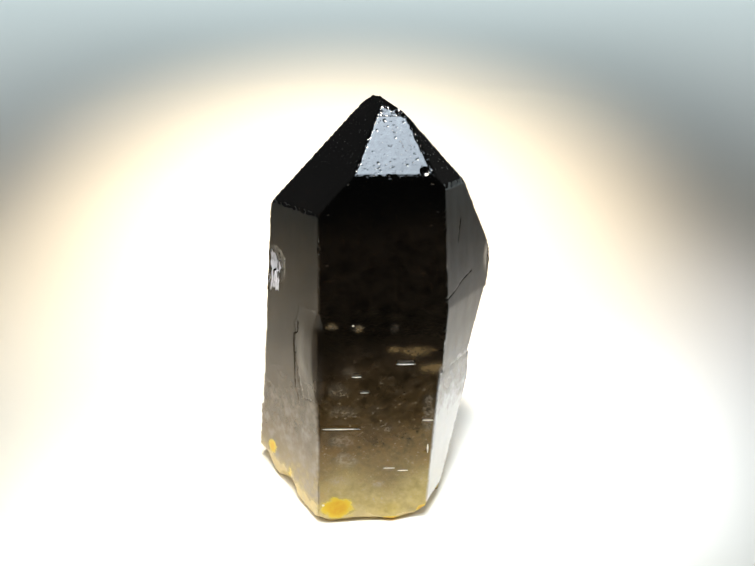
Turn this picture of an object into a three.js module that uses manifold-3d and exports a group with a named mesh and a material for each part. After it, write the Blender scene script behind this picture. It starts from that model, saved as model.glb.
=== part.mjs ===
// A single crystal of smoky (morion) quartz, broken from its rock and standing on the break.
//
// Two frames are used, both in millimetres. In the crystal's own frame +Z runs along the c axis
// to the point, azimuth 0 is the broad front prism face (towards -Y) and azimuths grow to the
// right (+X). Its origin is where the axis meets the ground. In the standing frame the crystal
// leans back, the break is flat at z = 0, and the origin is the middle of the part's box.
import * as THREE from 'three';
import { mergeVertices } from 'three/addons/utils/BufferGeometryUtils.js';
import Module from 'manifold-3d';

const wasm = await Module();
wasm.setup();

// The rhombohedral faces of quartz all rise 38.21 degrees off level.
const rhombRise = 38.21;

// How the crystal stands: degrees turned about X, then Y, then Z.
const lean = { back: -16.3, side: 0.8, turn: 4.1 };

// Prism faces. distance is from the axis, measured at height; rise tips the face's normal up.
const prismFaces = {
  front: { azimuth: 0, rise: 0, distance: 11.4, height: 0 },
  left: { azimuth: -60, rise: 0, distance: 11.85, height: 0 },
  rightUpper: { azimuth: 60, rise: 2.8, distance: 11.65, height: 20.9 },
  rightLower: { azimuth: 60, rise: -3.3, distance: 11.65, height: 20.9 },
  backLeft: { azimuth: -120, rise: 4.9, distance: 11.15, height: 4.6 },
  backRight: { azimuth: 120, rise: 0, distance: 11.4, height: 0 },
  back: { azimuth: 180, rise: 1.2, distance: 9.6, height: 10 },
};

// Termination faces. height is where the face's plane would cross the axis.
const pointFaces = {
  pointFront: { azimuth: 0, rise: rhombRise, distance: 0, height: 49.4 },
  pointLeft: { azimuth: -60, rise: rhombRise, distance: 0, height: 45.45 },
  pointRight: { azimuth: 60, rise: rhombRise, distance: 0, height: 47.8 },
  pointBackLeft: { azimuth: -120, rise: rhombRise, distance: 0, height: 41.5 },
  pointBackRight: { azimuth: 120, rise: rhombRise, distance: 0, height: 39.2 },
  pointBack: { azimuth: 180, rise: rhombRise, distance: 0, height: 37.6 },
};

// Where a neighbour pressed on the right side, the crystal narrows in steps towards the break.
const pressed = [
  { azimuth: 100, rise: -21.5, distance: 12.9, height: 22.9, from: 20.7, to: 30 },
  { azimuth: 100, rise: -21.5, distance: 12.65, height: 22.9, from: 13.8, to: 20.7 },
  { azimuth: 104, rise: 0, distance: 9.15, height: 0, from: 8.6, to: 13.8 },
  { azimuth: 104, rise: -21.5, distance: 9.1, height: 8.9, from: -12, to: 8.6 },
  { azimuth: 78, rise: -12, distance: 10.75, height: 9.6, from: -12, to: 13.8 },
];

// The last thin layer stopped growing part way across these faces, which leaves a low ledge.
// outline bounds the side that missed it, seen from outside: across to the right, then height.
const ledges = [
  {
    face: 'left',
    depth: 0.4,
    outline: [[-9, -12], [9, -12], [9, 10.4], [3.1, 10.2], [2.4, 12], [1.6, 15], [1.7, 18.4], [2.6, 20.4],
      [9, 21], [9, 45], [-9, 45]],
  },
  {
    face: 'backLeft',
    depth: 0.24,
    outline: [[-9, 6.1], [9, 6.4], [9, 45], [-9, 45], [-9, 23], [-2, 24.4], [2.6, 19.6], [1.2, 14.6],
      [-9, 14.2]],
  },
  {
    face: 'rightLower',
    depth: 0.14,
    outline: [[-9, -12], [9, -12], [9, 14.1], [-9, 13.75]],
  },
  {
    face: 'back',
    depth: 0.3,
    outline: [[-9, 11.8], [-2.6, 12.6], [0.8, 9.2], [9, 8.4], [9, 17.5], [2.8, 17], [-1.5, 19.5],
      [-2.4, 45], [-9, 45]],
  },
  {
    face: 'backRight',
    depth: 0.3,
    outline: [[9, -12], [9, 45], [3.2, 45], [4.4, 24.8], [1, 21.9], [-9, 22.6], [-9, -12]],
  },
  {
    face: 'pointBack',
    depth: 0.25,
    outline: [[-9, 33.6], [-1, 34.8], [3.4, 30.6], [9, 30], [9, 50], [-9, 50]],
  },
];

// Breaks across an edge that left a flat scar.
const scars = [
  { azimuth: 14, rise: 58, distance: 0, height: 45.25 },
  { azimuth: -33, rise: 0, distance: 13.25, height: 0, from: 11.2, to: 20.2 },
  { azimuth: -35, rise: -44, distance: 12.45, height: -3.2 },
  { azimuth: 26, rise: -36, distance: 12.3, height: -2.2 },
];

// Shell-shaped chips: balls laid against the surface. The place is the ball's middle.
const chips = [
  { place: [-15.1, -6, 23.8], radius: 5.1 },
  { place: [-14.5, -3.1, 21.9], radius: 3 },
  { place: [5, -11.7, 36.3], radius: 1.25 },
  { place: [6.3, -13.2, 34.2], radius: 1.95 },
  { place: [1.6, -7.6, 43.2], radius: 2 },
  { place: [-0.9, -2.2, 44.1], radius: 1.9 },
  { place: [4.7, -9.4, 38.8], radius: 1.05 },
  { place: [6.8, -12.2, 5.6], radius: 0.95 },
  { place: [13.6, 2.2, 23.9], radius: 1.5 },
  { place: [-13.6, -0.1, 17.1], radius: 0.8 },
  { place: [-13.7, -0.2, 7.1], radius: 0.95 },
  { place: [-1, 13.4, 29.6], radius: 4.2 },
  { place: [-10.3, 8.6, 12.6], radius: 3.1 },
  { place: [6.2, 10.6, 12.4], radius: 2.4 },
];

// Bites out of the broken rim, given the same way.
const bites = [
  { place: [-12.6, -6.9, -2.8], radius: 3.9 },
  { place: [-14.6, -1.2, -2.1], radius: 3.7 },
  { place: [-9.4, -10.4, -5.2], radius: 3.3 },
  { place: [-12.4, 6.2, -0.2], radius: 4.4 },
  { place: [-3.4, 13, 0.6], radius: 4.6 },
  { place: [4.6, 12.4, 1.4], radius: 3.9 },
  { place: [10.2, 2.6, -2.2], radius: 5.1 },
  { place: [10.1, -6.2, -4.6], radius: 4 },
  { place: [1.6, -13.6, -4.9], radius: 2.5 },
];

// Short level nicks in the front face: place across it and height, then length.
const nicks = [
  [2.6, 15, 1.9],
  [-2.6, 13.6, 0.9],
  [-1.75, 11.8, 0.9],
  [-4.2, 7.7, 4.1],
  [5.1, 8.6, 1.1],
  [1, 3.1, 1.3],
  [2.5, 2.8, 1.2],
];
const nickDepth = 0.16;

const reach = 90; // edge of the blocks that cut the crystal, longer than all of it
const radians = THREE.MathUtils.degToRad;

function solid(geometry) {
  geometry.deleteAttribute('normal');
  geometry.deleteAttribute('uv');
  const merged = mergeVertices(geometry);
  const mesh = new wasm.Mesh({
    numProp: 3,
    vertProperties: merged.attributes.position.array,
    triVerts: new Uint32Array(merged.index.array),
  });
  return new wasm.Manifold(mesh);
}

function geometryOf(body) {
  const mesh = body.getMesh();
  const geometry = new THREE.BufferGeometry();
  geometry.setAttribute('position', new THREE.BufferAttribute(mesh.vertProperties, 3));
  geometry.setIndex(new THREE.BufferAttribute(mesh.triVerts, 1));
  return geometry;
}

function faceNormal({ azimuth, rise }) {
  const a = radians(azimuth);
  const r = radians(rise);
  return new THREE.Vector3(Math.sin(a) * Math.cos(r), -Math.cos(a) * Math.cos(r), Math.sin(r));
}

// How far a face's plane is from the origin.
function faceOffset({ rise, distance, height }) {
  return distance * Math.cos(radians(rise)) + height * Math.sin(radians(rise));
}

// Everything outside a flat face, as a block whose inner side lies in the face's plane.
function beyond(face, raised = 0) {
  const up = new THREE.Vector3(0, 0, 1);
  const block = new THREE.BoxGeometry(reach, reach, reach);
  block.translate(0, 0, reach / 2 + faceOffset(face) + raised);
  block.applyQuaternion(new THREE.Quaternion().setFromUnitVectors(up, faceNormal(face)));
  return solid(block);
}

// All that lies between two heights.
function slab(from, to) {
  const box = new THREE.BoxGeometry(reach, reach, to - from);
  box.translate(0, 0, (from + to) / 2);
  return solid(box);
}

function ball({ place, radius }) {
  const sphere = new THREE.SphereGeometry(radius, 24, 16);
  sphere.rotateX(radians(63));
  sphere.rotateY(radians(34));
  sphere.translate(...place);
  return solid(sphere);
}

// The column over an outline on a face, square to the face's azimuth.
function column(face, outline) {
  const shape = new THREE.Shape(outline.map(([across, height]) => new THREE.Vector2(across, height)));
  const prism = new THREE.ExtrudeGeometry(shape, { depth: reach / 2, bevelEnabled: false });
  prism.rotateX(radians(90));
  prism.rotateZ(radians(face.azimuth));
  return solid(prism);
}

const faces = { ...prismFaces, ...pointFaces };

function grow() {
  let body = slab(-reach / 4, reach * 0.6);
  for (const face of Object.values(faces)) {
    body = body.subtract(beyond(face));
  }
  return body;
}

function cutLedges(body) {
  for (const { face, depth, outline } of ledges) {
    body = body.subtract(beyond(faces[face], -depth).intersect(column(faces[face], outline)));
  }
  return body;
}

function cutFlats(body, cuts) {
  for (const cut of cuts) {
    const { from = -reach / 2, to = reach } = cut;
    body = body.subtract(beyond(cut).intersect(slab(from, to)));
  }
  return body;
}

function cutBalls(body, hollows) {
  for (const hollow of hollows) {
    body = body.subtract(ball(hollow));
  }
  return body;
}

function cutNicks(body) {
  for (const [across, height, length] of nicks) {
    const edge = nickDepth * Math.SQRT2;
    const bar = new THREE.BoxGeometry(length, edge, edge);
    bar.rotateX(radians(45));
    bar.translate(across, -prismFaces.front.distance, height);
    body = body.subtract(solid(bar));
  }
  return body;
}

// Lean the crystal back and cut the break flat on the ground.
function stand(body) {
  const turned = new THREE.Matrix4().makeRotationFromEuler(
    new THREE.Euler(radians(lean.back), radians(lean.side), radians(lean.turn), 'XYZ'),
  );
  const upright = solid(geometryOf(body).applyMatrix4(turned));
  return upright.subtract(slab(-reach, 0));
}

function shapeCrystal() {
  let body = cutLedges(grow());
  body = cutFlats(body, pressed);
  body = cutFlats(body, scars);
  body = cutBalls(body, chips);
  body = cutBalls(body, bites);
  body = cutNicks(body);
  return stand(body);
}

const geometry = geometryOf(shapeCrystal());
geometry.computeVertexNormals();
geometry.computeBoundingBox();
const middle = geometry.boundingBox.getCenter(new THREE.Vector3());
geometry.translate(-middle.x, -middle.y, 0);

const morion = new THREE.MeshStandardMaterial({
  color: 0x3a3026,
  roughness: 0.15,
  metalness: 0,
  flatShading: true,
});
const crystal = new THREE.Mesh(geometry, morion);
crystal.name = 'crystal';

const part = new THREE.Group();
part.add(crystal);

export default part;
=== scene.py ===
import math

import bmesh
import bpy
import numpy as np
from mathutils import Euler, Matrix, Vector, kdtree, noise


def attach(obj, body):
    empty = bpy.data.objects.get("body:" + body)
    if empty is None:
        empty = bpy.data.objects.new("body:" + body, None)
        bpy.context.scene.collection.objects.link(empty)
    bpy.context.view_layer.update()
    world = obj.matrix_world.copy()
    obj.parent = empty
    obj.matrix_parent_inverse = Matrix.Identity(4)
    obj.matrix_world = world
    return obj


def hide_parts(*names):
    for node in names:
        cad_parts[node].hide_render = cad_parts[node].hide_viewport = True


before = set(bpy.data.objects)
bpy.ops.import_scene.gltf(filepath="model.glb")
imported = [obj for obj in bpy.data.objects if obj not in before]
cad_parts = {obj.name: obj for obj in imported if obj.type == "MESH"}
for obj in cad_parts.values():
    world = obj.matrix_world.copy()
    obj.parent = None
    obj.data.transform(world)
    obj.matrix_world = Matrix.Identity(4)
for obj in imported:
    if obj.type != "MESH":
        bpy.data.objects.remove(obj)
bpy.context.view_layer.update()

mm = 0.001

# How the crystal stands, as its solid does: it leans back, a little to the side, and is turned a little.
lean = Euler((math.radians(-16.3), math.radians(0.8), math.radians(4.1)), 'XYZ')
stand = Matrix.Rotation(lean.x, 3, 'X') @ Matrix.Rotation(lean.y, 3, 'Y') @ Matrix.Rotation(lean.z, 3, 'Z')
foot = Vector((-0.186, -2.076, 0))        # mm, where the crystal's long axis meets the ground

# Planes, mm from that axis: the front face, the left face, its raised part, and one behind its chip
planes = {"front": 11.4, "left": 11.45, "ledge": 11.85, "chipBack": 11.3}
slope = math.radians(38.21)               # how far the faces of the point look up
aside = 0.866                             # share of the left face's outward way that points across


view = {
    "place": (0.43, -102.31, 86.05),      # mm
    "tilt": 58,                           # degrees up from looking straight down
    "lens": 52.45,                        # mm
    "sensor": 36,                         # mm
    "nearest": 5,                         # mm
}


def addCamera():
    data = bpy.data.cameras.new("camera")
    data.lens = view["lens"]
    data.sensor_width = view["sensor"]
    data.clip_start = view["nearest"] * mm
    camera = bpy.data.objects.new("camera", data)
    bpy.context.scene.collection.objects.link(camera)
    camera.location = [side * mm for side in view["place"]]
    camera.rotation_euler = (math.radians(view["tilt"]), 0, 0)
    bpy.context.scene.camera = camera


# Lengths in mm. Places are in the crystal's own frame: z along it, y to the back.
shape = {
    "slice": 0.26,              # between the cuts that give the faces points to carve
    "pointSlice": 0.09,         # the same on the bright face of the point
    "sliced": {"across": (-15, 15), "along": (-5, 46), "pointAcross": (-4, 6), "pointAlong": (34, 42)},
    "smallFace": 0.1,           # square mm, under which a face near a small mark is split finer
    "sharp": 22,                # degrees, past which an edge is drawn sharp
    "wornPast": 8,              # degrees, past which an edge between two large faces wears
    "largeFace": 6,             # square mm
    "wearStep": 0.08,           # between the points that mark a worn edge
    "wear": 0.035,              # what such an edge loses all along
    "wearReach": 0.32,          # how far from the edge
    "bigChip": 0.55,            # depth of the chips here and there along it
    "smallChip": 0.26,
    "streak": 0.007,            # growth marks along the crystal
    "ripple": 0.003,            # and across it
    "wave": 0.012,              # wide unevenness of the long faces
    "pointWave": 0.006,         # and of the point's
    "fracture": 0.07,           # roughness of the broken foot and the chips
    "splinter": 0.06,           # and of the shell-shaped chip on the left
    "shellFill": 0.6,           # share of that chip's depth that is filled
    # outline of the broken foot from above: across, then how far it is broken back
    "lip": ((-7.5, 0), (-5.8, 0.1), (-4.5, -0.05), (-3.2, -0.05), (-2.3, 0.1), (-1.3, 0.2), (0.5, -0.05),
            (2, -0.5), (3.2, 0.05), (4, 0.3), (5, 0.65), (5.8, 1.15), (6.6, 1.3)),
    "undercut": 0.9,            # how far the foot stands back under its rim
    "gap": 0.55,                # height of the rim off the ground
    # middle, radius, depth
    "pits": (
        ((-1.04, -9.64, 37.15), 0.12, 0.035), ((-0.55, -10.44, 36.14), 0.13, 0.045),
        ((-0.38, -10.98, 35.45), 0.11, 0.04), ((-0.46, -10.80, 35.66), 0.11, 0.04),
        ((0.9, -10.81, 35.66), 0.11, 0.03), ((2.38, -10.59, 35.95), 0.12, 0.045),
        ((1.97, -10.49, 36.08), 0.10, 0.03), ((0.57, -7.82, 39.47), 0.12, 0.03),
        ((0.27, -7.37, 40.03), 0.2, 0.04), ((-0.56, -8.11, 39.1), 0.14, 0.03),
        ((2.19, -7.49, 39.88), 0.15, 0.03), ((0.5, -11.4, 34.92), 0.2, 0.1),
        ((0.91, -9.22, 37.69), 0.10, 0.02), ((1.31, -8.63, 38.44), 0.16, 0.02),
        ((3.38, -10.19, 36.45), 0.11, 0.03), ((0.1, -9.9, 36.8), 0.09, 0.02),
        ((2.9, -9.3, 37.6), 0.09, 0.02), ((-0.9, -11.2, 35.2), 0.1, 0.03),
        ((1.5, -7.9, 39.4), 0.09, 0.02), ((-1.9, -10.9, 35.6), 0.1, 0.03),
        ((3.9, -10.7, 35.8), 0.1, 0.03), ((-1.75, -8.75, 38.2), 0.30, 0.12),
        ((-0.15, -6.75, 40.9), 0.24, 0.08), ((0.55, -6.35, 41.4), 0.34, 0.16),
        ((1.1, -6.45, 41.2), 0.3, 0.18), ((1.75, -6.75, 40.8), 0.34, 0.18),
        ((2.3, -7.0, 40.5), 0.3, 0.16), ((-2.1, -9.4, 37.5), 0.24, 0.1),
        ((-2.5, -10.4, 36.2), 0.22, 0.1), ((4.15, -11.05, 35.35), 0.55, 0.3),
        ((4.8, -11.2, 34.85), 0.5, 0.3), ((4.85, -11.4, 34.0), 0.22, 0.12),
        ((13.4, -0.1, 24.0), 2.7, 0.26),
        ((-5.7, -11.4, 25.6), 0.12, 0.05), ((-6.0, -11.4, 32.4), 0.14, 0.08),
        ((-5.6, -11.4, 30.9), 0.12, 0.06), ((5.5, -11.4, 31.2), 0.14, 0.07),
        ((4.9, -11.4, 29.8), 0.12, 0.05), ((-9.3, -6.8, 35.4), 0.12, 0.1),
        ((-4.4, -11.4, 12.9), 0.1, 0.04), ((0.9, -11.4, 13.4), 0.1, 0.04),
        ((5.0, -11.4, 5.0), 0.18, 0.1), ((5.3, -11.4, 5.8), 0.16, 0.1),
    ),
    # the dark join beside the ledge on the left face: across, height
    "join": ((2.5, 9.1), (2.3, 10.2), (1.75, 11.0), (1.68, 11.9), (1.6, 14.0), (1.42, 16.2), (1.5, 17.1),
             (2.1, 17.5), (2.2, 19.0)),
    "joinDepth": 0.3,
    "joinHalf": 0.12,           # half its width
    # open cracks in the right face, from one end to the other
    "cracks": (((8.44, -7.8, 29.87), (8.15, -8.53, 27.56)), ((10.19, -5.4, 23.56), (8.91, -7.64, 23.17)),
               ((8.91, -7.64, 23.17), (7.93, -9.4, 22.46)), ((7.93, -9.4, 22.46), (6.77, -11.47, 21.98))),
    "crackDepth": 0.07,
    "crackHalf": 0.13,          # half their width
    # the ledge on the left: where it begins (heights, across), and the share of its rise that is kept
    "ledgeEdge": ((10.2, 12, 15, 18.4, 20.4), (3.1, 2.4, 1.6, 1.7, 2.6)),
    "swell": 0.45,
    "bevelAt": 13.25,           # from the axis to the bevel between the front and the left
    "bevel": 0.42,              # how much deeper it is beside the ledge
    "shallow": 0.7,             # share of the two low nicks that is filled
}
sideLeft = Vector((-math.sin(math.radians(60)), -0.5, 0))
alongLeft = Vector((0.5, -math.sin(math.radians(60)), 0))
sideBackLeft = Vector((-math.sin(math.radians(60)), 0.5, 0))
bevel = Vector((-math.sin(math.radians(33)), -math.cos(math.radians(33)), 0))


def ease(x, lo, hi):
    t = max(0.0, min(1.0, (x - lo) / (hi - lo)))
    return t * t * (3 - 2 * t)


def cut(bm, geom, axis, span, step):
    lo, hi = shape["sliced"][span]
    for i in range(int((hi - lo) / step)):
        spot = foot * mm + axis * (lo + (i + 0.5) * step) * mm
        geom = bmesh.ops.bisect_plane(bm, geom=geom, dist=2e-7, plane_no=axis, plane_co=spot)["geom"]
    return geom


def patch(faces):
    edges = {e for f in faces for e in f.edges}
    return list(faces) + list(edges) + list({v for f in faces for v in f.verts})


def sliceFaces(bm):
    long = stand @ Vector((0, 0, 1))
    for az in (0, 60, 120):                              # each pair of opposite long faces
        a = math.radians(az)
        out = stand @ Vector((math.sin(a), -math.cos(a), 0))
        along = stand @ Vector((math.cos(a), math.sin(a), 0))
        faces = []
        for f in bm.faces:
            flat = f.normal - long * f.normal.dot(long)
            if f.normal.z > -0.9 and flat.length > 0.05 and abs(flat.normalized().dot(out)) > 0.867:
                faces.append(f)
        cut(bm, patch(faces), along, "across", shape["slice"])
    cut(bm, patch([f for f in bm.faces if f.normal.z > -0.9]), long, "along", shape["slice"])
    point = stand @ Vector((0, -math.cos(slope), math.sin(slope)))
    geom = patch([f for f in bm.faces if f.normal.dot(point) > 0.99])
    geom = cut(bm, geom, stand.col[0], "pointAcross", shape["pointSlice"])
    cut(bm, geom, long, "pointAlong", shape["pointSlice"] * 0.7)


def nearCracks(c):
    return c.x > 6 and 21 < c.z < 31


def crackGap(c):
    gaps = []
    for a, b in shape["cracks"]:
        a, b = Vector(a), Vector(b)
        t = max(0.0, min(1.0, (c - a).dot(b - a) / (b - a).length_squared))
        gaps.append((c - a.lerp(b, t)).length)
    return min(gaps)


def joinAt(z):
    return float(np.interp(z, [row[1] for row in shape["join"]], [row[0] for row in shape["join"]]))


# Finer faces round the small marks of the front, in the cracks and along the join
def refine(bm):
    marks = [Vector(row[0]) for row in shape["pits"] if row[0][2] < 34.5 and row[1] < 0.25]
    edges = set()
    for f in bm.faces:
        c = stand.transposed() @ (f.calc_center_median() * 1000 - foot)
        fine = nearCracks(c) and crackGap(c) < 0.35
        fine = fine or c.y < -11 and min((c - mark).length for mark in marks) < 0.25
        if c.dot(sideLeft) > 11.3 and 8.6 < c.z < 21:
            fine = fine or abs(c.dot(alongLeft) - joinAt(c.z)) < 0.4
        if fine and f.calc_area() < shape["smallFace"] * mm * mm:
            edges.update(f.edges)
    bmesh.ops.subdivide_edges(bm, edges=list(edges), cuts=3, use_grid_fill=True)


# Points along the edges that wear. The ledge's own outline keeps its shape.
def wornEdges(bm):
    points = []
    for e in bm.edges:
        if len(e.link_faces) == 2 and e.calc_face_angle(0) > math.radians(shape["wornPast"]):
            a, b = e.verts[0].co.copy(), e.verts[1].co.copy()
            c = stand.transposed() @ ((a + b) * 500 - foot)
            onLedge = c.dot(sideLeft) > 11.3 and 9.5 < c.z < 21.5 and 0.8 < c.dot(alongLeft) < 5.6
            large = min(f.calc_area() for f in e.link_faces) > shape["largeFace"] * mm * mm
            if large and not onLedge:
                n = max(1, int((b - a).length / (shape["wearStep"] * mm)))
                points += [a.lerp(b, i / n) for i in range(n + 1)]
    tree = kdtree.KDTree(len(points))
    for i, p in enumerate(points):
        tree.insert(p, i)
    tree.balance()
    return tree


def edgeLoss(c, d):
    near = max(0.0, 1 - d / shape["wearReach"])
    if near == 0:
        return 0.0
    big = noise.noise(c * 0.9 + Vector((3, 7, 1))) + 0.6 * noise.noise(c * 2.3)
    small = noise.noise(c * 2.9 + Vector((8, 2, 5))) + 0.6 * noise.noise(c * 6.1)
    crest = 1 + (0.8 if c.x > 0.4 else -0.6) * ease(c.z, 34.2, 36)     # the point is worn most on its right
    return near ** 1.5 * crest * (shape["wear"] + shape["bigChip"] * max(0.0, big - 0.42)
                                  + shape["smallChip"] * max(0.0, small - 0.22))


def skinLoss(c, n, d):
    keep = ease(d, 0.05, 0.8)
    if abs(n.z) > 0.2:
        return keep * shape["pointWave"] * (1 + noise.noise(c * 1.1))
    wide = noise.noise(Vector((c.x * 0.7, c.y * 0.7, c.z * 0.14)))
    fine = noise.noise(Vector((c.x * 1.7, c.y * 1.7, c.z * 0.5 + 9)))
    level = noise.noise(Vector((c.x * 0.2, c.y * 0.2, c.z * 2.2)))
    front = ease(-n.y, 0.9, 0.99)
    loss = shape["streak"] * (1 - 0.6 * front) * (1.4 + wide + 0.4 * fine) + shape["ripple"] * (1 + level)
    return keep * (loss + shape["wave"] * (1 + noise.noise(c * 0.55)))


# mains are the outward ways of the crystal's grown faces; whatever looks another way is broken
def brokenLoss(c, n, mains):
    near = max(n.dot(m) for m in mains)
    weight = 1 - ease(near, 0.955, 0.985)
    if c.z > 40.4 and n.z > 0:
        weight = max(weight, 0.6)
    if weight == 0 or (c.y < -11.2 and c.z > 1.5):
        return 0.0
    if c.x < -9.5 and 19 < c.z < 28:                     # the shell-shaped chip, splintery, partly filled
        grain = Vector((c.x * 2.6, c.y * 2.6, c.z * 0.45))
        loss = weight * shape["splinter"] * (0.7 + noise.noise(grain) + 0.5 * noise.noise(grain * 2.3))
        below = min(planes["left"] - c.dot(sideLeft), planes["chipBack"] - c.dot(sideBackLeft))
        return loss - shape["shellFill"] * max(0.0, below)
    return weight * shape["fracture"] * (1.1 + noise.noise(c * 2.0) + 0.6 * noise.noise(c * 4.7))


def pitLoss(c):
    loss = 0.0
    for place, radius, deep in shape["pits"]:
        if abs(c.z - place[2]) < radius:
            r = (c - Vector(place)).length / radius
            if r < 1:
                loss += deep * (1 - r * r) ** (1 if radius < 1 else 2) * (1 + 0.5 * noise.noise(c * 3.3))
    return loss


def grooveLoss(c):
    loss = 0.0
    if c.dot(sideLeft) > 11.0 and 9.1 < c.z < 19.1:
        gap = abs(c.dot(alongLeft) - joinAt(c.z) - 0.06 * noise.noise(Vector((0, 0, c.z * 3))))
        ends = (0.3 * ease(c.z, 9.1, 10.0) + 0.7 * ease(c.z, 11.2, 12.2)) * (1 - ease(c.z, 18.3, 19.0))
        loss += ends * shape["joinDepth"] * max(0.0, 1 - gap / shape["joinHalf"])
    if nearCracks(c):
        near = max(0.0, 1 - crackGap(c) / shape["crackHalf"])
        loss += shape["crackDepth"] * near * (0.9 + noise.noise(c * 2.7))
    return loss


# The ledge on the left swells softly instead of ending in a step
def ledgeMove(c):
    across, out = c.dot(alongLeft), c.dot(sideLeft)
    if not (out > planes["left"] - 0.001 and 10 < c.z < 21.2 and across > 0.8):
        return Vector((0, 0, 0))
    begin = float(np.interp(c.z, *shape["ledgeEdge"]))
    rise = ease(c.z, 10.5, 14.5) * (1 - ease(c.z, 16.5, 20.2)) * ease(across, begin, begin + 2.4)
    return stand.col[0] * (min(out, planes["ledge"]) - planes["left"]) * (1 - shape["swell"] * rise) / aside


def rimLoss(p):
    wave = noise.noise(Vector((p.x * 0.5 + 5, p.y * 0.5, 0)))
    wave += 0.5 * noise.noise(Vector((p.x * 1.4, p.y * 1.4, 3)))
    if p.y < -9.5:
        return float(np.interp(p.x, *zip(*shape["lip"]))) + 0.05 * wave
    return 0.04 + 0.2 * max(0.0, wave)


# The broken foot goes in under its rim
def footMove(p):
    inside = Vector((-p.x - 1.0, -p.y - 2.5, 0)).normalized()
    fall = max(0.0, 1 - p.z / 2.2)
    under = shape["undercut"] * (0.3 + 0.7 * ease(-p.y, 3, 7))
    return inside * (rimLoss(p) * fall ** 1.3 + under * max(0.0, 1 - p.z / shape["gap"]))


def carve(bm, edges):
    back = stand.transposed()
    mains = []
    for az in range(0, 360, 60):
        a = math.radians(az)
        out = Vector((math.sin(a), -math.cos(a), 0))
        mains += [out, out * math.cos(slope) + Vector((0, 0, math.sin(slope)))]
    moves = []
    for v in bm.verts:
        p = v.co * 1000
        c = back @ (p - foot)
        n = back @ v.normal
        d = edges.find(v.co)[2] * 1000
        loss = edgeLoss(c, d) + skinLoss(c, n, d) + brokenLoss(c, n, mains) + pitLoss(c) + grooveLoss(c)
        move = -v.normal * loss + ledgeMove(c)
        # the edge between the front and the left is bevelled beside the ledge
        past = (c + back @ move).dot(bevel) - shape["bevelAt"]
        past += shape["bevel"] * ease(c.z, 3.5, 12) * (1 - ease(c.z, 18.5, 21.5))
        if past > 0 and c.z < 21.5:
            move -= stand @ bevel * past
        # the two low nicks are shallow
        if 2 < c.z < 4 and abs(c.x - 1.8) < 1.8 and -planes["front"] < c.y < -11.1:
            move -= stand.col[1] * shape["shallow"] * (c.y + planes["front"])
        if v.normal.z > -0.95 and p.z < 2.5:
            move += footMove(p)
        if p.z < 0.01:
            move.z = 0
        moves.append((v, move * mm))
    for v, move in moves:
        v.co += move
        v.co.z = max(0.0, v.co.z)
    bmesh.ops.dissolve_degenerate(bm, dist=0.003 * mm, edges=bm.edges)
    bm.normal_update()


def crystalMesh():
    bm = bmesh.new()
    bm.from_mesh(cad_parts["crystal"].data)
    bmesh.ops.remove_doubles(bm, verts=bm.verts, dist=0.0005 * mm)
    bmesh.ops.dissolve_limit(bm, angle_limit=math.radians(0.4), verts=bm.verts, edges=bm.edges)
    edges = wornEdges(bm)
    sliceFaces(bm)
    refine(bm)
    bmesh.ops.triangulate(bm, faces=bm.faces[:])
    bm.normal_update()
    carve(bm, edges)
    mesh = bpy.data.meshes.new("quartz")
    bm.to_mesh(mesh)
    bm.free()
    mesh.polygons.foreach_set("use_smooth", [True] * len(mesh.polygons))
    mesh.set_sharp_from_angle(angle=math.radians(shape["sharp"]))
    crystal = bpy.data.objects.new("quartz", mesh)
    bpy.context.scene.collection.objects.link(crystal)
    print("crystal carved:", len(mesh.polygons), "triangles")
    return crystal


# Adds a node with its inputs and settings; an input may be a value, a socket or a node
def add(tree, kind, inputs, **settings):
    node = tree.nodes.new("ShaderNode" + kind)
    for key, value in settings.items():
        setattr(node, key, value)
    for key, value in inputs.items():
        if isinstance(value, bpy.types.Node):
            value = next(s for s in value.outputs if s.enabled)
        if isinstance(value, bpy.types.NodeSocket):
            tree.links.new(value, node.inputs[key])
        else:
            node.inputs[key].default_value = value
    return node


# an sRGB hex colour, turned to linear
def linear(code):
    shares = [int(code[i:i + 2], 16) / 255 for i in (0, 2, 4)]
    return tuple(c / 12.92 if c < 0.04045 else ((c + 0.055) / 1.055) ** 2.4 for c in shares) + (1,)


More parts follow.
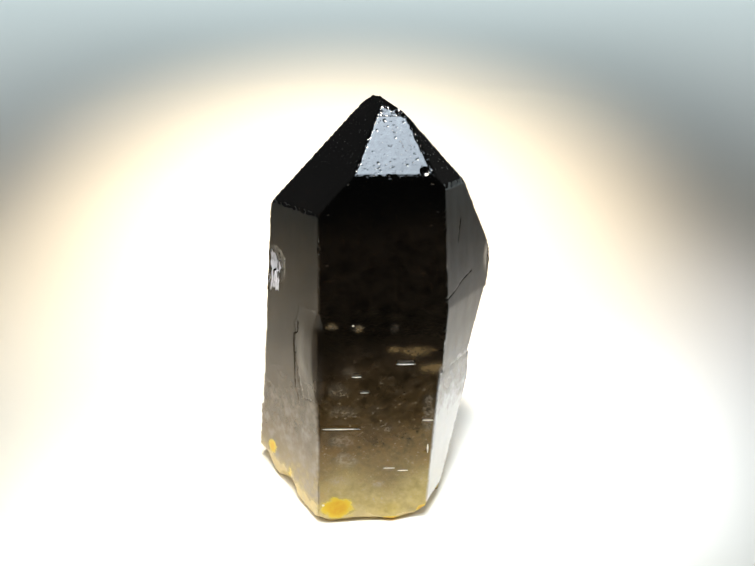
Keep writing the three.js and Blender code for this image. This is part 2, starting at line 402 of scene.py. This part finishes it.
look = {
    # height of the cloudy level (mm), share of light let through, colour (sRGB)
    "levels": (
        (-4, 0.15, "c5ad65"), (0.4, 0.20, "af9961"), (2.2, 0.25, "907a4a"),
        (3.9, 0.30, "7d663b"), (5.6, 0.35, "6c542e"), (7.4, 0.40, "5a4424"),
        (9.1, 0.45, "4f3d21"), (12.6, 0.55, "4a3a24"), (15, 0.65, "443626"),
        (18, 0.80, "2f261a"), (23, 0.80, "352b1f"), (29, 0.80, "342a1f"),
        (32, 0.90, "191713"), (36, 0.90, "10100e")),
    # size of the lumps in each pattern, mm: five of the clouds, then the etched skin's
    "sizes": {"drift": 5.88, "veil": 1.82, "haze": 1, "crumb": 0.5, "fleck": 0.238,
              "grain": 0.1429, "skin": 0.526, "dimple": 0.303},
    "ior": 1.544,
    "density": 450,             # of the smoky colour, per metre
    "smoke": "ad9e7c",
    "crumb": "ad9e88",          # pale crumbs in the cloudy half
    "glow": "6f5f4b",           # brown clouds behind the thin left side
    "milk": "9e958e",
    "frostAndFloorReflection": "e2e2e1",          # frosted skin with a painted reflection of the bright floor, low on the right side
    "rim": "d4be85",            # the foot's broken rim
    "ochre": "d7a00a",          # the stains' middle
    "lemon": "e2c527",          # and their border
    "paintedGlint": "f7f3f9",         # painted highlight: the glint on the chip on the left
    # painted highlight: the near-white glint of the nicks and small chips
    "nick": "fff3da",
    "tan": "a28557",
    # middle and half size of each, mm
    "milky": (((-7.8, -9.5, 15.0), (1.5, 2.0, 4.8)), ((-7.9, -9.3, 5.5), (1.6, 2.3, 6.5))),
    "tans": (((3.5, -11.4, 16.35), (1.9, 1, 0.55)), ((5.8, -11.4, 14.5), (1.5, 1, 0.6)),
             ((1.5, -11.4, 16.6), (0.7, 1, 0.5)),
             ((-5.2, -11.4, 19.2), (0.6, 1, 0.4)), ((-2.4, -11.4, 18.8), (0.4, 1, 0.4))),
    "stains": (((-4.55, -11.4, -1.6), (1.75, 1.3, 1.15)), ((-12.2, -3.0, 1.95), (1.0, 1.2, 0.9)),
               ((4.8, -11.4, -1.9), (0.7, 0.9, 0.5)), ((1.3, -11.4, -2.9), (1.1, 0.6, 0.35)),
               ((-10.2, -6.4, -0.2), (0.6, 0.8, 1.3))),
    # painted highlights where nicks and small chips on the front and the point catch the light
    "nicks": (((2.6, -11.4, 14.93), (1.0, 0.5, 0.08)), ((-2.6, -11.4, 13.53), (0.5, 0.5, 0.07)),
              ((-1.75, -11.4, 11.73), (0.5, 0.5, 0.04)), ((-4.4, -11.4, 7.63), (1.9, 0.5, 0.065)),
              ((5.1, -11.4, 8.53), (0.6, 0.5, 0.075)), ((5.15, -11.4, 5.3), (0.09, 0.4, 0.5)),
              ((4.28, -11.16, 35.2), (0.3, 0.3, 0.26)), ((-6.1, -11.4, -1.25), (0.16, 0.5, 0.12)),
              ((1.0, -11.4, 3.03), (0.65, 0.5, 0.05)), ((2.5, -11.4, 2.73), (0.6, 0.5, 0.05)),
              ((-3.0, -11.4, 19.2), (0.13, 0.4, 0.1))),
    "smudges": (((-5.2, -11.4, 19.1), (0.75, 1, 0.4)), ((-2.7, -11.4, 18.95), (0.8, 1, 0.45)),
                ((-3.3, -11.4, 14.1), (1.1, 1, 0.8)),
                ((-4.3, -11.4, 11.9), (1.4, 1, 1.1)), ((-3.9, -11.4, 9.6), (1.9, 1, 0.9)),
                ((-4.0, -11.4, 6.2), (1.7, 1, 0.9)), ((-3.6, -11.4, 4.0), (1.5, 1, 1.0)),
                ((-4.4, -11.4, 1.6), (1.4, 1, 0.7)), ((-0.2, -11.4, 1.2), (0.9, 1, 0.5)),
                ((1.4, -11.4, 18.9), (0.5, 1, 0.6)), ((0.8, -11.4, 7.6), (0.6, 1, 0.4)),
                ((5.2, -11.4, 9.5), (0.7, 1, 2.4))),
}


# Smoky quartz with natural crystal faces: glassy and near-black where it is clear, milky and matt where
# clouds of fine cracks and fluid scatter the light, with iron stains on the broken foot, painted highlights
# on its chips and nicks, and a painted reflection of the floor low on the right
def morion():
    mat = bpy.data.materials.new("morionQuartz")
    mat.use_nodes = True
    tree = mat.node_tree
    tree.nodes.clear()
    smooth = {"interpolation_type": 'SMOOTHSTEP'}
    perMm = {name: round(1 / size, 2) for name, size in look["sizes"].items()}
    coord = add(tree, "TexCoord", {})
    pos = add(tree, "Mapping", {0: coord.outputs["Object"], "Scale": (1000, 1000, 1000),
                                "Rotation": (-lean.x, -lean.y, -lean.z),
                                "Location": tuple(-(stand.transposed() @ foot))}, vector_type='POINT')
    split = add(tree, "SeparateXYZ", {0: pos}).outputs
    x, z = split[0], split[2]
    height = add(tree, "SeparateXYZ", {0: coord.outputs["Object"]}).outputs[2]

    # clouds and an etched grain; the cloudy level is the height with these clouds stirred in
    drift = add(tree, "TexNoise", {"Vector": pos, "Scale": perMm["drift"], "Detail": 1.0})
    wisps = add(tree, "Mapping", {0: pos, "Rotation": (0, math.radians(38), 0), "Scale": (0.85, 1, 1.1)})
    veil = add(tree, "TexNoise", {"Vector": wisps, "Scale": perMm["veil"],
                                  "Detail": 3.0, "Roughness": 0.55})
    crumb = add(tree, "TexNoise", {"Vector": wisps, "Scale": perMm["crumb"],
                                   "Detail": 2.0, "Roughness": 0.55})
    fleck = add(tree, "TexNoise", {"Vector": wisps, "Scale": perMm["fleck"],
                                   "Detail": 3.0, "Roughness": 0.6})
    grain = add(tree, "TexNoise", {"Vector": pos, "Scale": perMm["grain"], "Detail": 2.0})
    haze = add(tree, "TexNoise", {"Vector": pos, "Scale": perMm["haze"], "Detail": 3.0, "Roughness": 0.5})
    level = z
    for cloud, swing in ((drift, 6.0), (veil, 3.5), (haze, 6.0), (crumb, 3.5), (grain, 1.5)):
        level = add(tree, "Math", {0: cloud, 1: swing, 2: level}, operation='MULTIPLY_ADD')
    level = add(tree, "Math", {0: level, 1: 10.25}, operation='SUBTRACT')   # half of all the swings
    rightward = add(tree, "MapRange", {0: x, 1: 0.5, 2: 5.5, 4: -1.9})      # paler low on the right
    under = add(tree, "MapRange", {0: z, 1: 10.5, 2: 7.0})
    level = add(tree, "Math", {0: rightward, 1: under, 2: level}, operation='MULTIPLY_ADD')
    level = add(tree, "Math", {0: x, 1: -0.1, 2: level}, operation='MULTIPLY_ADD')
    lowest, highest = look["levels"][0][0], look["levels"][-1][0]
    along = add(tree, "MapRange", {0: level, 1: lowest, 2: highest})
    colour = add(tree, "ValToRGB", {0: along})
    clear = add(tree, "ValToRGB", {0: along})
    for node, column in ((colour, 2), (clear, 1)):
        ramp = node.color_ramp
        while len(ramp.elements) < len(look["levels"]):
            ramp.elements.new(0.5)
        for element, row in zip(ramp.elements, look["levels"]):
            element.position = (row[0] - lowest) / (highest - lowest)
            element.color = linear(row[2]) if column == 2 else (row[1], row[1], row[1], 1)

    left = add(tree, "VectorMath", {0: pos, 1: tuple(sideLeft)}, operation='DOT_PRODUCT').outputs["Value"]
    left = add(tree, "MapRange", {0: left, 1: 11.22, 2: 11.38}, **smooth)
    mottle = add(tree, "Math", {0: veil, 1: crumb}, operation='ADD')
    mottle = add(tree, "Math", {0: haze, 1: 1.4, 2: mottle}, operation='MULTIPLY_ADD')
    mottle = add(tree, "MapRange", {0: mottle, 1: 1.25, 2: 2.15, 3: 0.28, 4: 1.85})
    calm = add(tree, "MapRange", {0: level, 1: 4.0, 2: -1.0, 4: 0.55})      # evener low and on the left
    calm = add(tree, "Math", {0: left, 1: 0.6, 2: calm}, operation='MULTIPLY_ADD', use_clamp=True)
    mottle = add(tree, "Mix", {0: calm, 2: mottle, 3: 1.0}, data_type='FLOAT')
    mottle = add(tree, "CombineColor", {0: mottle, 1: mottle, 2: mottle})
    colour = add(tree, "Mix", {0: 1.0, 6: colour, 7: mottle}, data_type='RGBA', blend_type='MULTIPLY')

    # how far away the nearest mark of each kind is, 1 at its border
    reach = {}
    for name in ("stains", "smudges", "nicks", "milky", "tans"):
        for at, size in look[name]:
            spot = add(tree, "Mapping", {0: pos, "Location": [-a / s for a, s in zip(at, size)],
                                         "Scale": [1 / s for s in size]})
            away = add(tree, "VectorMath", {0: spot}, operation='LENGTH').outputs["Value"]
            if name in reach:
                away = add(tree, "Math", {0: reach[name], 1: away}, operation='MINIMUM')
            reach[name] = away

    # soft tan clouds in the dark middle
    tan = add(tree, "Math", {0: veil, 1: 1.4, 2: reach["tans"]}, operation='MULTIPLY_ADD')
    tan = add(tree, "Math", {0: crumb, 1: 1.4, 2: tan}, operation='MULTIPLY_ADD')
    tan = add(tree, "MapRange", {0: tan, 1: 2.9, 2: 1.7, 4: 0.6}, **smooth)
    colour = add(tree, "Mix", {0: tan, 6: colour, 7: linear(look["tan"])}, data_type='RGBA')
    clear = add(tree, "Math", {0: tan, 1: -0.4, 2: clear}, operation='MULTIPLY_ADD')

    # pale crumbs: everywhere in the cloudy half but few on the left, thicker in the smudges
    loose = add(tree, "Math", {0: fleck, 1: crumb}, operation='ADD')
    loose = add(tree, "MapRange", {0: loose, 1: 1.10, 2: 1.40, 4: 0.8}, **smooth)
    low = add(tree, "MapRange", {0: level, 1: 20.0, 2: 10.0}, **smooth)
    loose = add(tree, "Math", {0: loose, 1: low}, operation='MULTIPLY')
    bed = add(tree, "MapRange", {0: veil, 1: 0.42, 2: 0.60, 3: 0.35}, **smooth)
    loose = add(tree, "Math", {0: loose, 1: bed}, operation='MULTIPLY')
    thick = add(tree, "Math", {0: veil, 1: 1.6, 2: reach["smudges"]}, operation='MULTIPLY_ADD')
    thick = add(tree, "Math", {0: crumb, 1: 1.2, 2: thick}, operation='MULTIPLY_ADD')
    thick = add(tree, "MapRange", {0: thick, 1: 2.5, 2: 1.8}, **smooth)
    lump = add(tree, "Math", {0: fleck, 1: crumb}, operation='ADD')
    lump = add(tree, "MapRange", {0: lump, 1: 0.80, 2: 1.30, 3: 0.12, 4: 0.62}, **smooth)
    thick = add(tree, "Math", {0: thick, 1: lump}, operation='MULTIPLY')
    few = add(tree, "MapRange", {0: left, 3: 1.0, 4: 0.25})
    loose = add(tree, "Math", {0: loose, 1: few}, operation='MULTIPLY')
    pale = add(tree, "Math", {0: loose, 1: thick}, operation='MAXIMUM')
    colour = add(tree, "Mix", {0: pale, 6: colour, 7: linear(look["crumb"])}, data_type='RGBA')
    clear = add(tree, "Math", {0: pale, 1: -0.10, 2: clear}, operation='MULTIPLY_ADD')

    # brown clouds glow through the thin left side
    glow = add(tree, "Math", {0: crumb, 1: 0.7, 2: veil}, operation='MULTIPLY_ADD')
    glow = add(tree, "MapRange", {0: glow, 1: 0.5, 2: 1.2})
    glow = add(tree, "Math", {0: glow, 1: left}, operation='MULTIPLY')
    thin = add(tree, "MapRange", {0: z, 1: 32.0, 2: 24.0}, **smooth)
    glow = add(tree, "Math", {0: glow, 1: thin}, operation='MULTIPLY')
    colour = add(tree, "Mix", {0: glow, 6: colour, 7: linear(look["glow"])}, data_type='RGBA')
    clear = add(tree, "Math", {0: glow, 1: -0.3, 2: clear}, operation='MULTIPLY_ADD')

    # and milk floats in it, in two long clouds and in puffs
    milk = add(tree, "Math", {0: haze, 1: 1.6, 2: reach["milky"]}, operation='MULTIPLY_ADD')
    milk = add(tree, "MapRange", {0: milk, 1: 2.1, 2: 1.2, 4: 0.14}, **smooth)
    puffs = add(tree, "Math", {0: haze, 1: veil}, operation='ADD')
    puffs = add(tree, "MapRange", {0: puffs, 1: 0.85, 2: 1.3, 4: 0.42}, **smooth)
    thin = add(tree, "MapRange", {0: level, 1: 20.0, 2: 8.0})
    puffs = add(tree, "Math", {0: puffs, 1: thin}, operation='MULTIPLY')
    milk = add(tree, "Math", {0: milk, 1: puffs}, operation='ADD')
    milk = add(tree, "Math", {0: milk, 1: left}, operation='MULTIPLY')
    colour = add(tree, "Mix", {0: milk, 6: colour, 7: linear(look["milk"])}, data_type='RGBA')
    clear = add(tree, "Math", {0: milk, 1: -0.3, 2: clear}, operation='MULTIPLY_ADD')

    # the right side is near-white low down, partly frosted and partly a painted reflection of the bright
    # floor: its lower plane leans in from a height of 20.9 mm
    side = add(tree, "VectorMath", {0: pos, 1: (aside, -0.5, 0)}, operation='DOT_PRODUCT').outputs["Value"]
    drop = add(tree, "Math", {0: 20.9, 1: z}, operation='SUBTRACT')
    side = add(tree, "Math", {0: drop, 1: 0.0577, 2: side}, operation='MULTIPLY_ADD')
    frostAndFloorReflection = add(tree, "MapRange", {0: side, 1: 11.25, 2: 11.6}, **smooth)
    frostAndFloorReflectionLow = add(tree, "MapRange", {0: level, 1: 15.0, 2: 6.0})
    frostAndFloorReflection = add(tree, "Math", {0: frostAndFloorReflection, 1: frostAndFloorReflectionLow}, operation='MULTIPLY')
    colour = add(tree, "Mix", {0: frostAndFloorReflection, 6: colour, 7: linear(look["frostAndFloorReflection"])}, data_type='RGBA')
    clear = add(tree, "Mix", {0: frostAndFloorReflection, 2: clear, 3: 0.05}, data_type='FLOAT')

    # the foot's broken rim is pale and wider on the left, with ochre stains
    foam = add(tree, "Math", {0: veil, 1: 0.003, 2: height}, operation='MULTIPLY_ADD')
    foam = add(tree, "Math", {0: x, 1: 0.0001, 2: foam}, operation='MULTIPLY_ADD')
    rim = add(tree, "MapRange", {0: foam, 1: 0.0033, 2: 0.0018, 4: 0.75}, **smooth)
    colour = add(tree, "Mix", {0: rim, 6: colour, 7: linear(look["rim"])}, data_type='RGBA')
    edge = add(tree, "Math", {0: veil, 1: 0.7, 2: reach["stains"]}, operation='MULTIPLY_ADD')
    edge = add(tree, "Math", {0: crumb, 1: 0.7, 2: edge}, operation='MULTIPLY_ADD')
    stain = add(tree, "MapRange", {0: edge, 1: 1.9, 2: 1.5}, **smooth)
    core = add(tree, "MapRange", {0: edge, 1: 1.75, 2: 1.1}, **smooth)
    core = add(tree, "Math", {0: core, 1: crumb}, operation='MULTIPLY')
    core = add(tree, "Math", {0: core, 1: 2.0}, operation='MULTIPLY', use_clamp=True)
    rust = add(tree, "Mix", {0: core, 6: linear(look["lemon"]), 7: linear(look["ochre"])}, data_type='RGBA')
    colour = add(tree, "Mix", {0: stain, 6: colour, 7: rust}, data_type='RGBA')
    clear = add(tree, "Mix", {0: stain, 2: clear, 3: 0.12}, data_type='FLOAT')

    # painted highlight in white streaks over the shell-shaped chip on the left, between two slanting lines,
    # where its splinters glint
    across = add(tree, "VectorMath", {0: pos, 1: tuple(alongLeft)}, operation='DOT_PRODUCT')
    across = across.outputs["Value"]
    down = add(tree, "Math", {0: 26.1, 1: z}, operation='SUBTRACT')
    leftLine = add(tree, "MapRange", {0: down, 1: 1.8, 2: 3.4, 3: -3.65, 4: -4.45})
    rightLine = add(tree, "MapRange", {0: down, 1: 0.0, 2: 3.0, 3: -3.8, 4: -1.55})
    fromLeft = add(tree, "Math", {0: across, 1: leftLine}, operation='SUBTRACT')
    fromRight = add(tree, "Math", {0: rightLine, 1: across}, operation='SUBTRACT')
    inside = add(tree, "Math", {0: fromLeft, 1: fromRight}, operation='MINIMUM')
    inside = add(tree, "MapRange", {0: inside, 1: -0.05, 2: 0.2}, **smooth)
    strand = add(tree, "Mapping", {0: pos, "Scale": (2.4, 2.4, 0.38), "Rotation": (0, math.radians(6), 0)})
    strand = add(tree, "TexNoise", {"Vector": strand, "Scale": 1.0, "Detail": 2.0, "Roughness": 0.5})
    torn = add(tree, "Math", {0: strand, 1: 2.4, 2: z}, operation='MULTIPLY_ADD')
    torn = add(tree, "MapRange", {0: torn, 1: 22.1, 2: 22.6}, **smooth)
    streaks = add(tree, "MapRange", {0: strand, 1: 0.40, 2: 0.53}, **smooth)
    paintedGlint = inside
    for gate in (torn, streaks):
        paintedGlint = add(tree, "Math", {0: paintedGlint, 1: gate}, operation='MULTIPLY')
    outer = add(tree, "MapRange", {0: x, 1: -9.2, 2: -9.8}, **smooth)
    paintedGlint = add(tree, "Math", {0: paintedGlint, 1: outer}, operation='MULTIPLY')
    # painted highlights: near-white glints on the nicks and small chips of the front and the point
    nick = add(tree, "Math", {0: grain, 1: 0.5, 2: reach["nicks"]}, operation='MULTIPLY_ADD')
    nick = add(tree, "MapRange", {0: nick, 1: 1.35, 2: 1.1}, **smooth)
    colour = add(tree, "Mix", {0: paintedGlint, 6: colour, 7: linear(look["paintedGlint"])}, data_type='RGBA')
    colour = add(tree, "Mix", {0: nick, 6: colour, 7: linear(look["nick"])}, data_type='RGBA')
    paintedGlint = add(tree, "Math", {0: paintedGlint, 1: nick}, operation='MAXIMUM')
    clear = add(tree, "Mix", {0: paintedGlint, 2: clear, 3: 0.05}, data_type='FLOAT')

    # a faintly uneven skin, specked where it is etched; dimples on the point alone
    skin = add(tree, "TexNoise", {"Vector": pos, "Scale": perMm["skin"],
                                  "Detail": 5.0, "Roughness": 0.55})
    etched = add(tree, "MapRange", {0: grain, 1: 0.58, 2: 0.74, 4: 0.10}, **smooth)
    rough = add(tree, "MapRange", {0: skin, 1: 0.3, 2: 0.75, 3: 0.02, 4: 0.10})
    rough = add(tree, "Math", {0: rough, 1: etched}, operation='ADD')
    # rougher on the stains, the rim and under the painted highlights
    roughened = add(tree, "Math", {0: stain, 1: rim}, operation='MAXIMUM')
    roughened = add(tree, "Math", {0: roughened, 1: paintedGlint}, operation='MAXIMUM')
    rough = add(tree, "Mix", {0: roughened, 2: rough, 3: 0.5}, data_type='FLOAT')
    bump = add(tree, "Bump", {"Height": skin, "Strength": 0.35, "Distance": 0.00002})
    dimple = add(tree, "TexNoise", {"Vector": pos, "Scale": perMm["dimple"],
                                    "Detail": 2.0, "Roughness": 0.6})
    dimple = add(tree, "MapRange", {0: dimple, 1: 0.64, 2: 0.74, 3: 1.0, 4: 0.0}, **smooth)
    point = add(tree, "MapRange", {0: z, 1: 34.0, 2: 36.0})
    dimple = add(tree, "Math", {0: dimple, 1: point}, operation='MULTIPLY')
    bump = add(tree, "Bump", {"Height": dimple, "Strength": 0.6, "Distance": 0.00003, "Normal": bump})
    bump = add(tree, "Bump", {"Height": grain, "Strength": 0.3, "Distance": 0.000002, "Normal": bump})

    quartz = add(tree, "BsdfPrincipled", {"Base Color": colour, "Roughness": rough, "IOR": look["ior"],
                                          "Transmission Weight": clear, "Normal": bump})
    smoke = add(tree, "VolumeAbsorption", {"Color": linear(look["smoke"]), "Density": look["density"]})
    add(tree, "OutputMaterial", {"Surface": quartz, "Volume": smoke})
    print("morion material:", len(tree.nodes), "nodes")
    return mat


stage = {
    "half": 0.6,                # metres, half the floor's side
    "cloth": "ece5d6",
    "clothRough": 0.95,
    "clothShine": 0.1,
    "behind": (0.75, 0.75, 0.76, 1),
    "roomLight": (0.022, 0.07),           # strength in front of the crystal and behind it
    # name, place and size in metres, watts, colour, spread in degrees
    "panels": (
        ("softbox", (-0.008, -0.024, 0.125), (0.09, 0.09), 0.0375, (0.76, 0.88, 1.0), 56),
        ("stripLight", (-0.006, 0.056, 0.21), (0.02, 0.08), 0.062, (1.0, 0.88, 0.72), 34),
        ("backdropLight", (0, 0.25, 0.30), (0.60, 0.24), 0.56, (0.66, 0.84, 1.0), 42)),
    # small lamps that only brighten the cloth and the quartz's cloudy foot
    # name, place in metres, watts, colour, spread and turn in degrees
    "lampSize": (0.03, 0.03),
    "lamps": (
        ("frontLamp", (0, -0.075, 0.11), 0.013, (1.0, 0.76, 0.50), 60, 0),
        ("leftLamp", (-0.024, -0.020, 0.10), 0.0036, (1.0, 0.94, 0.74), 22, 0),
        ("farLeftLamp", (-0.075, 0.02, 0.16), 0.0034, (1.0, 0.93, 0.76), 40, 0),
        ("lowLeftLamp", (-0.075, -0.012, 0.062), 0.0010, (1.0, 0.95, 0.84), 24, -50),
        ("rightLamp", (0.021, -0.003, 0.10), 0.0048, (0.80, 0.88, 1.0), 24, 0),
        ("midRightLamp", (0.046, 0.012, 0.12), 0.0042, (0.68, 0.78, 1.0), 40, 0),
        ("farRightLamp", (0.075, 0.03, 0.16), 0.0021, (1.0, 0.96, 0.86), 40, 0),
        ("lowRightLamp", (0.075, 0.0, 0.062), 0.0013, (0.86, 0.93, 1.0), 24, 50),
        ("backLeftLamp", (-0.115, 0.085, 0.16), 0.010, (0.74, 0.86, 1.0), 56, 0),
        ("backRightLamp", (0.115, 0.085, 0.16), 0.010, (0.74, 0.86, 1.0), 56, 0)),
}


def addFloor():
    bm = bmesh.new()
    bmesh.ops.create_grid(bm, x_segments=1, y_segments=1, size=stage["half"])
    mesh = bpy.data.meshes.new("floor")
    bm.to_mesh(mesh)
    bm.free()
    floor = bpy.data.objects.new("floor", mesh)
    bpy.context.scene.collection.objects.link(floor)
    mat = bpy.data.materials.new("creamCloth")          # undyed cotton, matt and evenly pale
    mat.use_nodes = True
    cloth = mat.node_tree.nodes["Principled BSDF"]
    cloth.inputs["Base Color"].default_value = linear(stage["cloth"])
    cloth.inputs["Roughness"].default_value = stage["clothRough"]
    cloth.inputs["Specular IOR Level"].default_value = stage["clothShine"]
    mesh.materials.append(mat)


def addArea(name, place, size, power, colour, spread):
    data = bpy.data.lights.new(name, 'AREA')
    data.shape = 'RECTANGLE'
    data.size, data.size_y = size
    data.energy = power
    data.color = colour
    data.spread = math.radians(spread)
    light = bpy.data.objects.new(name, data)
    bpy.context.scene.collection.objects.link(light)
    light.location = place
    light.visible_camera = False
    return light


def addLights():
    for row in stage["panels"]:
        addArea(*row)
    for name, place, power, colour, spread, turn in stage["lamps"]:
        lamp = addArea(name, place, stage["lampSize"], power, colour, spread)
        lamp.visible_glossy = False
        lamp.rotation_euler.y = math.radians(turn)


def addWorld():
    world = bpy.data.worlds.new("studio")
    bpy.context.scene.world = world
    world.use_nodes = True
    tree = world.node_tree
    tree.nodes.clear()
    path = add(tree, "LightPath", {})
    coord = add(tree, "TexCoord", {})
    way = add(tree, "SeparateXYZ", {0: coord.outputs["Generated"]})
    front, rear = stage["roomLight"]
    room = add(tree, "MapRange", {0: way.outputs[1], 1: -0.2, 2: 0.6, 3: front, 4: rear},
               interpolation_type='SMOOTHSTEP')
    dim = add(tree, "Background", {0: (1, 1, 1, 1), "Strength": room})
    pale = add(tree, "Background", {0: stage["behind"]})
    mix = add(tree, "MixShader", {0: path.outputs["Is Camera Ray"], 1: dim, 2: pale})
    add(tree, "OutputWorld", {0: mix})


addCamera()
quartz = crystalMesh()
quartz.data.materials.append(morion())
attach(quartz, "root")
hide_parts("crystal")
addFloor()
addLights()
addWorld()
scene = bpy.context.scene
scene.view_settings.view_transform = 'Standard'
scene.cycles.use_denoising = True
print("stage, lights and world placed")
